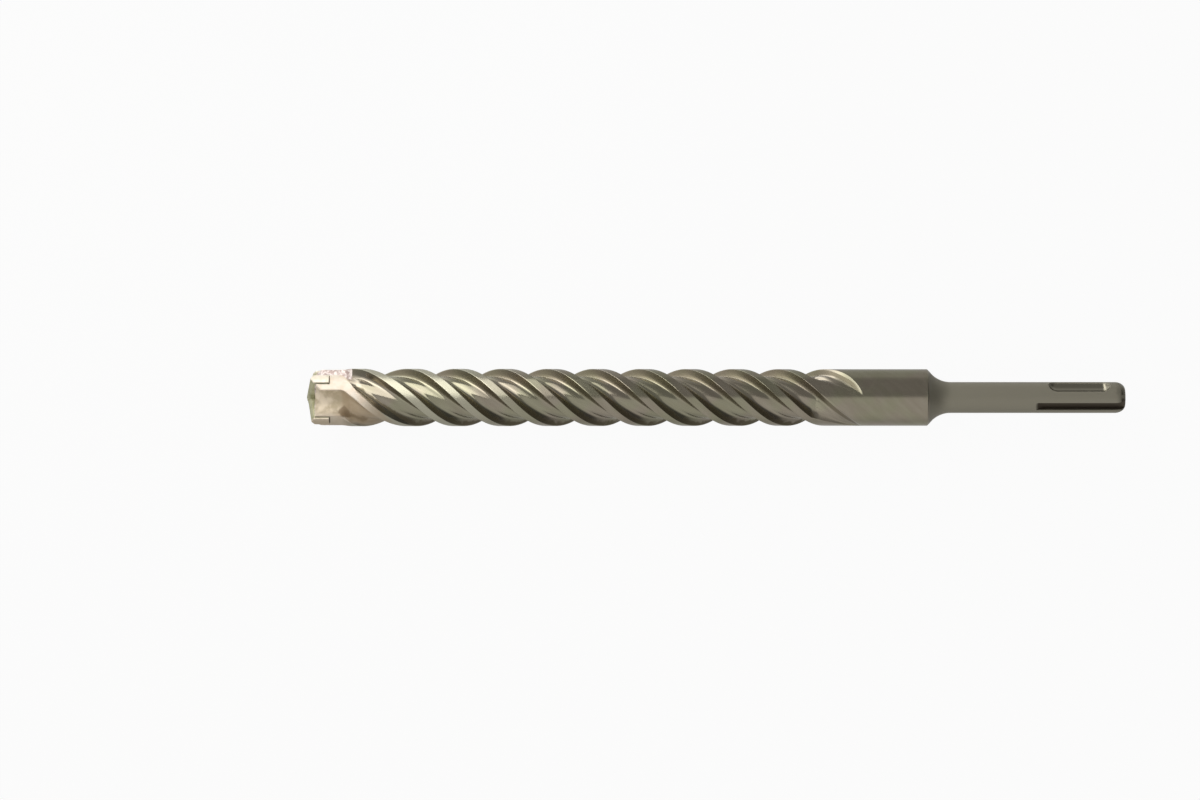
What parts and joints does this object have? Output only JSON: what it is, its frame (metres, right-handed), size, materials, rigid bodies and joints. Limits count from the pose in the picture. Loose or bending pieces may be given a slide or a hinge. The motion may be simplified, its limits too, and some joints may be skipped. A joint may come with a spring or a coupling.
{
  "type": "masonry drill bit",
  "caption": "Masonry drill bit with helical flutes, a brazed carbide cross head, a shouldered neck and a grooved quick-change shank.",
  "frame": {"origin": "centre of the flat end face of the shank, on the bit's axis", "axes": "+X along the axis, out of the shank's end face; the carbide point lies towards -X; +Z is the side that the picture shows"},
  "size_m": [0.265, 0.0186, 0.0186],
  "materials": {
    "tool_steel": "satin grey, shot-blasted on the shank, heat-tinted cream and brown at the head",
    "sintered_carbide": "matt, with a yellow-brown tint from brazing"
  },
  "bodies": {
    "root": {"steel_body": "tool_steel", "carbide_head": "sintered_carbide"}
  },
  "joints": []
}
